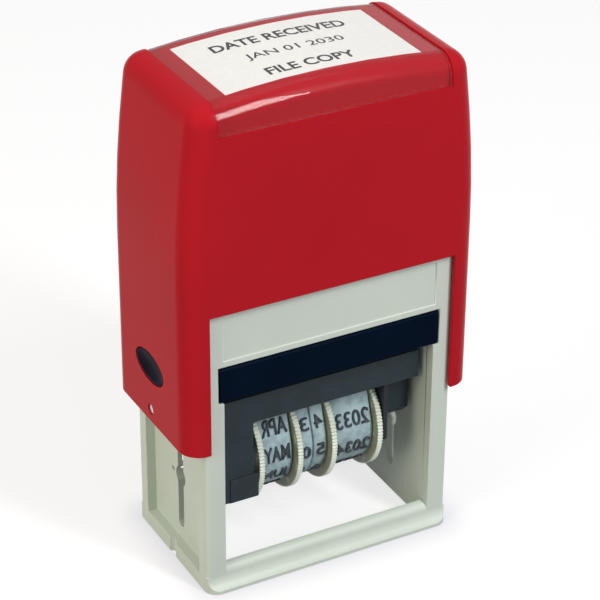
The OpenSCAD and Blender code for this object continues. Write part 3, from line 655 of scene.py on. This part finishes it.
def raisedWords(lines, rise, mirrored):  # lines of words as one flat sheet of raised type, in mm
    work = bmesh.new()
    for line in lines:
        flat = wordMesh(line["word"], line["size"], line["width"], line["heavy"])
        for v in flat.vertices:
            x = -v.co.x if mirrored else v.co.x
            v.co = Vector((line["x"] + x, line["y"] + v.co.y, 0))
        work.from_mesh(flat)
        bpy.data.meshes.remove(flat)
    bmesh.ops.remove_doubles(work, verts=work.verts, dist=wordForm["weld"])
    bmesh.ops.triangulate(work, faces=work.faces)
    made = bmesh.ops.extrude_face_region(work, geom=list(work.faces))
    for v in made["geom"]:
        if isinstance(v, bmesh.types.BMVert):
            v.co.z += rise
    return work


# date bands with raised reversed characters

bandForm = {  # mm; the rest is read from the frame
    "noseHalf": 2.1, "noseR": 0.9, "body": 0.8, "type": 1.2, "steps": 150, "ease": 0.18,
    "smooth": 50, "root": 0.15, "letter": 1.9, "one": 0.62, "sideMargins": 0.7, "heavy": 0.01,
}
bandRows = {  # characters' height in mm, and the words round the loop from the one that prints
    "month_band": (3.6, ["JAN", "FEB", "MAR", "APR", "MAY", "JUN",
                         "JUL", "AUG", "SEP", "OCT", "NOV", "DEC", "", ""]),
    "day_tens_band": (3.0, ["0", "1", "2", "3"] * 3 + [""]),
    "day_units_band": (3.0, ["1", "2", "3", "4", "5", "6", "7", "8", "9", "0", "", "", ""]),
    "year_band": (3.5, [str(year) for year in (*range(2030, 2038), *range(2026, 2030))]),
}


def fitBands():  # the loop's straights and arcs, from the size of its box
    f = bandForm
    low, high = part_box("month_band")
    f["wheelZ"] = jointOf["month_turn"]["pos_m"][2] / mm
    f["drumR"] = f["wheelZ"] - low.z / mm - f["type"]
    f["noseZ"] = high.z / mm - f["type"]
    rise = f["noseZ"] - f["noseR"] - f["wheelZ"]
    lean = math.asin((f["drumR"] - f["noseR"]) / math.hypot(f["noseHalf"], rise))
    f["tilt"] = lean - math.atan2(f["noseHalf"], rise)
    run = rise * math.cos(f["tilt"]) - f["noseHalf"] * math.sin(f["tilt"])
    noseArc = (math.pi / 2 - f["tilt"]) * (f["noseR"] + f["type"])
    f["parts"] = [f["noseHalf"], noseArc, run]
    f["half"] = sum(f["parts"]) + (math.pi / 2 + f["tilt"]) * (f["drumR"] + f["type"])


def bandPoint(along, lift):  # depth and height on the loop, from mid-nose towards the front
    f = bandForm
    tilt, half = f["tilt"], f["half"]
    top, noseArc, run = f["parts"]
    along = (along + half) % (2 * half) - half
    side = -1.0 if along >= 0 else 1.0
    s = abs(along)
    if s < top:
        return side * s, f["noseZ"] + lift
    s -= top
    reach = f["noseR"] + lift
    if s < noseArc:
        a = math.pi / 2 - s / (f["noseR"] + f["type"])
        y = f["noseHalf"] + reach * math.cos(a)
        return side * y, f["noseZ"] - f["noseR"] + reach * math.sin(a)
    s -= noseArc
    if s < run:
        y = f["noseHalf"] + reach * math.cos(tilt) + s * math.sin(tilt)
        return side * y, f["noseZ"] - f["noseR"] + reach * math.sin(tilt) - s * math.cos(tilt)
    a = tilt - (s - run) / (f["drumR"] + f["type"])
    reach = f["drumR"] + lift
    return side * reach * math.cos(a), f["wheelZ"] + reach * math.sin(a)


def bandLoop(x0, x1):
    f = bandForm
    steps, ease, top = f["steps"], f["ease"], f["body"]
    outline = [(x0, 0.0), (x0, top - ease), (x0 + ease, top),
               (x1 - ease, top), (x1, top - ease), (x1, 0.0)]
    work = bmesh.new()
    rings = []
    for k in range(steps):
        spots = [(x, *bandPoint(2 * f["half"] * k / steps, lift)) for x, lift in outline]
        rings.append([work.verts.new((x * mm, y * mm, z * mm)) for x, y, z in spots])
    for k in range(steps):
        a, b = rings[k], rings[(k + 1) % steps]
        for j in range(len(outline)):
            n = (j + 1) % len(outline)
            work.faces.new((a[j], a[n], b[n], b[j]))
    return work


def bandType(x0, x1, size, words):  # reversed characters, bent round the loop
    f = bandForm
    pitch = 2 * f["half"] / len(words)
    widest = x1 - x0 - f["sideMargins"]
    lines = []
    for row, word in enumerate(words):
        if word:
            width = f["one"] if word == "1" else min(widest, f["letter"] * len(word))
            lines.append({"word": word, "size": size, "width": width, "heavy": f["heavy"],
                          "x": (x0 + x1) / 2, "y": -row * pitch})
    work = raisedWords(lines, f["type"] - f["body"] + f["root"], True)
    for v in work.verts:
        y, z = bandPoint(-v.co.y, f["body"] - f["root"] + v.co.z)
        v.co = Vector((v.co.x * mm, y * mm, z * mm))
    return work


fitBands()
for node, (size, words) in bandRows.items():
    low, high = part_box(node)
    x0, x1 = low.x / mm, high.x / mm
    band = finishMesh(node + "_rubber", bandLoop(x0, x1), bandBlue, "turner", "band_rubber", node)
    shadeByAngle(band.data, bandForm["smooth"])
    finishMesh(node + "_type", bandType(x0, x1, size, words), typeInk, "turner", "band_rubber")
print("bands: %d, loop %.2f mm, slope %.2f"
      % (len(bandRows), 2 * bandForm["half"], math.degrees(bandForm["tilt"])))


# index label: the imprint as it comes out, laid on the paper

imprint = [  # mm
    {"word": "DATE RECEIVED", "size": 3.3, "width": 28.4, "heavy": 0.08, "x": -0.4, "y": 6.2},
    {"word": "JAN 01 2030", "size": 3.2, "width": 20.6, "heavy": 0.02, "x": -0.3, "y": -0.6},
    {"word": "FILE COPY", "size": 3.3, "width": 18.4, "heavy": 0.08, "x": -0.9, "y": -7.7},
]
inkFilm = {"lift": 0.024, "rise": 0.012}  # mm


def layOn(node, work, lift):  # sets a flat piece down on a node's upper side
    shape = nodes[node].data
    above, down = 1.0, Vector((0, 0, -1))
    points = [v.co for v in shape.vertices]
    tree = BVHTree.FromPolygons(points, [p.vertices for p in shape.polygons])
    for v in work.verts:
        hit = tree.ray_cast(Vector((v.co.x * mm, v.co.y * mm, above)), down)[0]
        v.co = Vector((v.co.x * mm, v.co.y * mm, hit.z + (lift + v.co.z) * mm))


printWork = raisedWords(imprint, inkFilm["rise"], False)
layOn("index_label", printWork, inkFilm["lift"])
labelText = finishMesh("labelText", printWork, labelInk, "press_cap", "label_paper")


# text plate: a rubber sheet with an opening for the date, and the imprint's fixed lines reversed

plateForm = {  # mm
    "halfW": 20.5, "halfD": 11.5, "openMargin": 0.45, "openDepth": 4.45,
    "z0": 42.2, "base": 0.5, "top": 43.4, "root": 0.05, "edge": 0.12,
}


def rectangle(x0, x1, y):
    return [(x0, -y), (x1, -y), (x1, y), (x0, y)]


def plateSheet():
    p = plateForm
    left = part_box("month_band")[0].x / mm - p["openMargin"]
    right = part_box("year_band")[1].x / mm + p["openMargin"]
    outer = rectangle(-p["halfW"], p["halfW"], p["halfD"])
    inner = rectangle(left, right, p["openDepth"])
    work = bmesh.new()
    levels = []
    for z in (p["z0"], p["z0"] + p["base"]):
        levels.append([[work.verts.new((x * mm, y * mm, z * mm)) for x, y in ring]
                       for ring in (outer, inner)])
    (o0, i0), (o1, i1) = levels
    for k in range(4):
        n = (k + 1) % 4
        work.faces.new((o0[k], o0[n], o1[n], o1[k]))
        work.faces.new((i0[n], i0[k], i1[k], i1[n]))
        work.faces.new((o1[k], o1[n], i1[n], i1[k]))
        work.faces.new((o0[n], o0[k], i0[k], i0[n]))
    obj = finishMesh("textPlate", work, dieRubber, "turner", "die_rubber", "text_die")
    edge = obj.modifiers.new("edge", "BEVEL")
    edge.width = p["edge"] * mm
    edge.segments = 2
    freeze(obj)


def plateType():
    p = plateForm
    foot = p["z0"] + p["base"] - p["root"]
    rise = p["top"] - p["z0"] - p["base"] + p["root"]
    work = raisedWords([imprint[0], imprint[2]], rise, True)
    for v in work.verts:
        v.co = Vector((v.co.x * mm, v.co.y * mm, (foot + v.co.z) * mm))
    return finishMesh("plateType", work, dieRubber, "turner", "die_rubber")


plateSheet()
plateWords = plateType()
print("label and text plate:", len(labelText.data.polygons), "and",
      len(plateWords.data.polygons), "faces")


# ink pad felt

feltForm = {  # mm; waves in radians per cell, along the width and the depth
    "swell": 0.08, "round": 0.5, "cells": (44, 26), "waves": ((2.3, 1.7), (0.9, -2.9)),
    "smooth": 50,
}


def feltPad():
    low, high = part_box("ink_pad")
    nx, ny = feltForm["cells"]
    (wa, wb), (va, vb) = feltForm["waves"]
    work = bmesh.new()
    grid = {}
    for level, z in ((0, low.z), (1, high.z)):
        for a in range(nx + 1):
            for b in range(ny + 1):
                x = low.x + (high.x - low.x) * (a / nx)
                y = low.y + (high.y - low.y) * (b / ny)
                lift = 0.0
                if level == 0:  # the inked side swells and is rounded along its edge
                    wave = 0.5 + 0.5 * math.sin(a * wa + b * wb) * math.sin(a * va + b * vb)
                    pull = feltForm["round"] * mm if a in (0, nx) or b in (0, ny) else 0.0
                    lift = pull + feltForm["swell"] * mm * wave
                grid[level, a, b] = work.verts.new((x, y, z + lift))

    def face(*corners):
        work.faces.new([grid[corner] for corner in corners])

    for level in (0, 1):
        for a in range(nx):
            for b in range(ny):
                face((level, a, b), (level, a + 1, b), (level, a + 1, b + 1), (level, a, b + 1))
    for a in range(nx):
        for b in (0, ny):
            face((0, a, b), (0, a + 1, b), (1, a + 1, b), (1, a, b))
    for b in range(ny):
        for a in (0, nx):
            face((0, a, b), (0, a, b + 1), (1, a, b + 1), (1, a, b))
    obj = finishMesh("feltPad", work, feltInk, "base", "ink_felt", "ink_pad")
    shadeByAngle(obj.data, feltForm["smooth"])
    return obj


felt = feltPad()
print("felt:", len(felt.data.polygons), "faces")


# floor, light and camera

white = (1, 1, 1, 1)
floorLook = {  # the rim is a painted shadow, a darker band along the base, in mm; the floor's sizes are in metres
    "size": 3.0, "level": -0.0001, "colour": (0.32, 0.315, 0.325), "glow": (0.72, 0.72, 0.72),
    "rim": (0.80, 0.79, 0.83), "shadowWidth": 8.0, "shadowCorner": 3.2, "shadowInset": 0.4, "shadowPower": 1.6,
    "whiteFrom": 0.4, "whiteAt": 1.1,
}
worldStrength = 0.22


def seenStraight(tree):  # 1 where the camera sees it, also in a reflection or through the window
    path = tree.nodes.new("ShaderNodeLightPath")
    glossy, through = path.outputs["Is Glossy Ray"], path.outputs["Is Transmission Ray"]
    mirrored = calc(tree, "MAXIMUM", glossy, through)
    return calc(tree, "MAXIMUM", path.outputs["Is Camera Ray"], mirrored)


def nearBase(tree):  # painted shadow: 1 along the outside of the base, fading to 0 over the shadow's width
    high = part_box("base_frame")[1]
    place = put(tree, "ShaderNodeSeparateXYZ", Vector=onObject(tree))
    corner, inset = floorLook["shadowCorner"] * mm, floorLook["shadowInset"] * mm
    squares = []
    for k in (0, 1):
        away = calc(tree, "ABSOLUTE", place.outputs[k])
        past = calc(tree, "MAXIMUM", calc(tree, "SUBTRACT", away, high[k] - inset - corner), 0.0)
        squares.append(calc(tree, "POWER", past, 2.0))
    gap = calc(tree, "SUBTRACT", calc(tree, "SQRT", calc(tree, "ADD", *squares)), corner)
    slope = spread(tree, gap, 0.0, floorLook["shadowWidth"] * mm, 1.0, 0.0)
    fade = calc(tree, "POWER", slope, floorLook["shadowPower"])
    return calc(tree, "MULTIPLY", fade, calc(tree, "GREATER_THAN", gap, 0.0))


def farOut(tree):  # 0 round the object, rising to 1 where the lamps don't reach
    reach = put(tree, "ShaderNodeVectorMath", i0=onObject(tree))
    reach.operation = "LENGTH"
    near, far = floorLook["whiteFrom"], floorLook["whiteAt"]
    return spread(tree, reach.outputs["Value"], near, far, 0.0, 1.0)


def paleFloor():
    mesh = bpy.data.meshes.new("floor")
    s, z = floorLook["size"], floorLook["level"]
    mesh.from_pydata([(-s, -s, z), (s, -s, z), (s, s, z), (-s, s, z)], [], [(0, 1, 2, 3)])
    material, tree, body, end = blankMaterial("paleFloor")
    tree.nodes.remove(body)
    # the painted shadow darkens both the floor's colour and its glow
    near = nearBase(tree)
    tones = []
    for key in ("colour", "glow"):
        dim = tuple(c * r for c, r in zip(floorLook[key], floorLook["rim"])) + (1,)
        tones.append(mixColour(tree, near, floorLook[key] + (1,), dim))
    matt = put(tree, "ShaderNodeBsdfDiffuse", Color=tones[0])
    glow = put(tree, "ShaderNodeEmission", Color=mixColour(tree, farOut(tree), tones[1], white),
               Strength=seenStraight(tree))
    both = put(tree, "ShaderNodeAddShader", i0=matt.outputs[0], i1=glow.outputs[0])
    below = tree.nodes.new("ShaderNodeNewGeometry").outputs["Backfacing"]
    clear = put(tree, "ShaderNodeBsdfTransparent", Color=white)  # the underside can be looked at
    mix = put(tree, "ShaderNodeMixShader", Fac=below, i1=both.outputs[0], i2=clear.outputs[0])
    tree.links.new(mix.outputs[0], end.inputs[0])
    mesh.materials.append(material)
    floor = addObject("floor", mesh)


def paleWorld():
    world = bpy.data.worlds.new("paleWorld")
    world.use_nodes = True
    tree = world.node_tree
    tree.nodes.clear()
    soft = put(tree, "ShaderNodeBackground", Color=white, Strength=worldStrength)
    seen = put(tree, "ShaderNodeBackground", Color=white, Strength=1.0)
    mix = put(tree, "ShaderNodeMixShader", Fac=seenStraight(tree), i1=soft.outputs[0],
              i2=seen.outputs[0])
    end = tree.nodes.new("ShaderNodeOutputWorld")
    tree.links.new(mix.outputs[0], end.inputs[0])
    scene.world = world


lamps = {  # the left one stays out of reflections, where it would hide the label from the right
    "frontStrip": {
        "place": (0.2175, -0.56, 0.58), "target": (-0.015, -0.015, 0.105), "size": (0.11, 0.46),
        "power": 4.5, "colour": (1.0, 1.0, 0.99), "mirrored": True},
    "topSoftbox": {
        "place": (-0.08, 0.12, 0.75), "target": (0, 0, 0.06), "size": (0.7, 0.7),
        "power": 1.5, "colour": (1.0, 1.0, 1.0), "mirrored": True},
    "leftSoftbox": {
        "place": (-0.62, -0.1, 0.3), "target": (0, 0, 0.05), "size": (0.4, 0.4),
        "power": 2.5, "colour": (1.0, 0.92, 0.70), "mirrored": False},
}


def aim(obj, place, target, roll=0.0):
    back = (Vector(place) - Vector(target)).normalized()
    side = Vector((0, 0, 1)).cross(back).normalized()
    up = back.cross(side)
    c, s = math.cos(roll), math.sin(roll)
    x, y = c * side + s * up, c * up - s * side
    rows = [(x[k], y[k], back[k], place[k]) for k in range(3)]
    obj.matrix_world = Matrix((*rows, (0, 0, 0, 1)))


def lightUp():
    for name, how in lamps.items():
        data = bpy.data.lights.new(name, "AREA")
        data.shape = "RECTANGLE"
        data.size, data.size_y = how["size"]
        data.energy, data.color = how["power"], how["colour"]
        lamp = addObject(name, data)
        lamp.visible_glossy = how["mirrored"]
        aim(lamp, how["place"], how["target"])


photoCamera = {  # metres; focal length in pixels of the picture's width
    "place": (-0.19150, -0.35294, 0.28203), "back": (-0.41632, -0.76179, 0.49634), "roll": 0.44,
    "pixels": 2325.4, "picture": 600, "sensor": 36.0, "clip": (0.01, 50.0),
}


def placeCamera():
    p = photoCamera
    data = bpy.data.cameras.new("photoCamera")
    data.sensor_width = p["sensor"]
    data.lens = p["pixels"] / p["picture"] * p["sensor"]
    data.clip_start, data.clip_end = p["clip"]
    camera = addObject("photoCamera", data)
    place = Vector(p["place"])
    aim(camera, place, place - Vector(p["back"]), math.radians(p["roll"]))
    scene.camera = camera


paleFloor()
paleWorld()
lightUp()
placeCamera()
scene.view_settings.view_transform = "Standard"
print("stage: floor,", len(lamps), "lamps, camera")
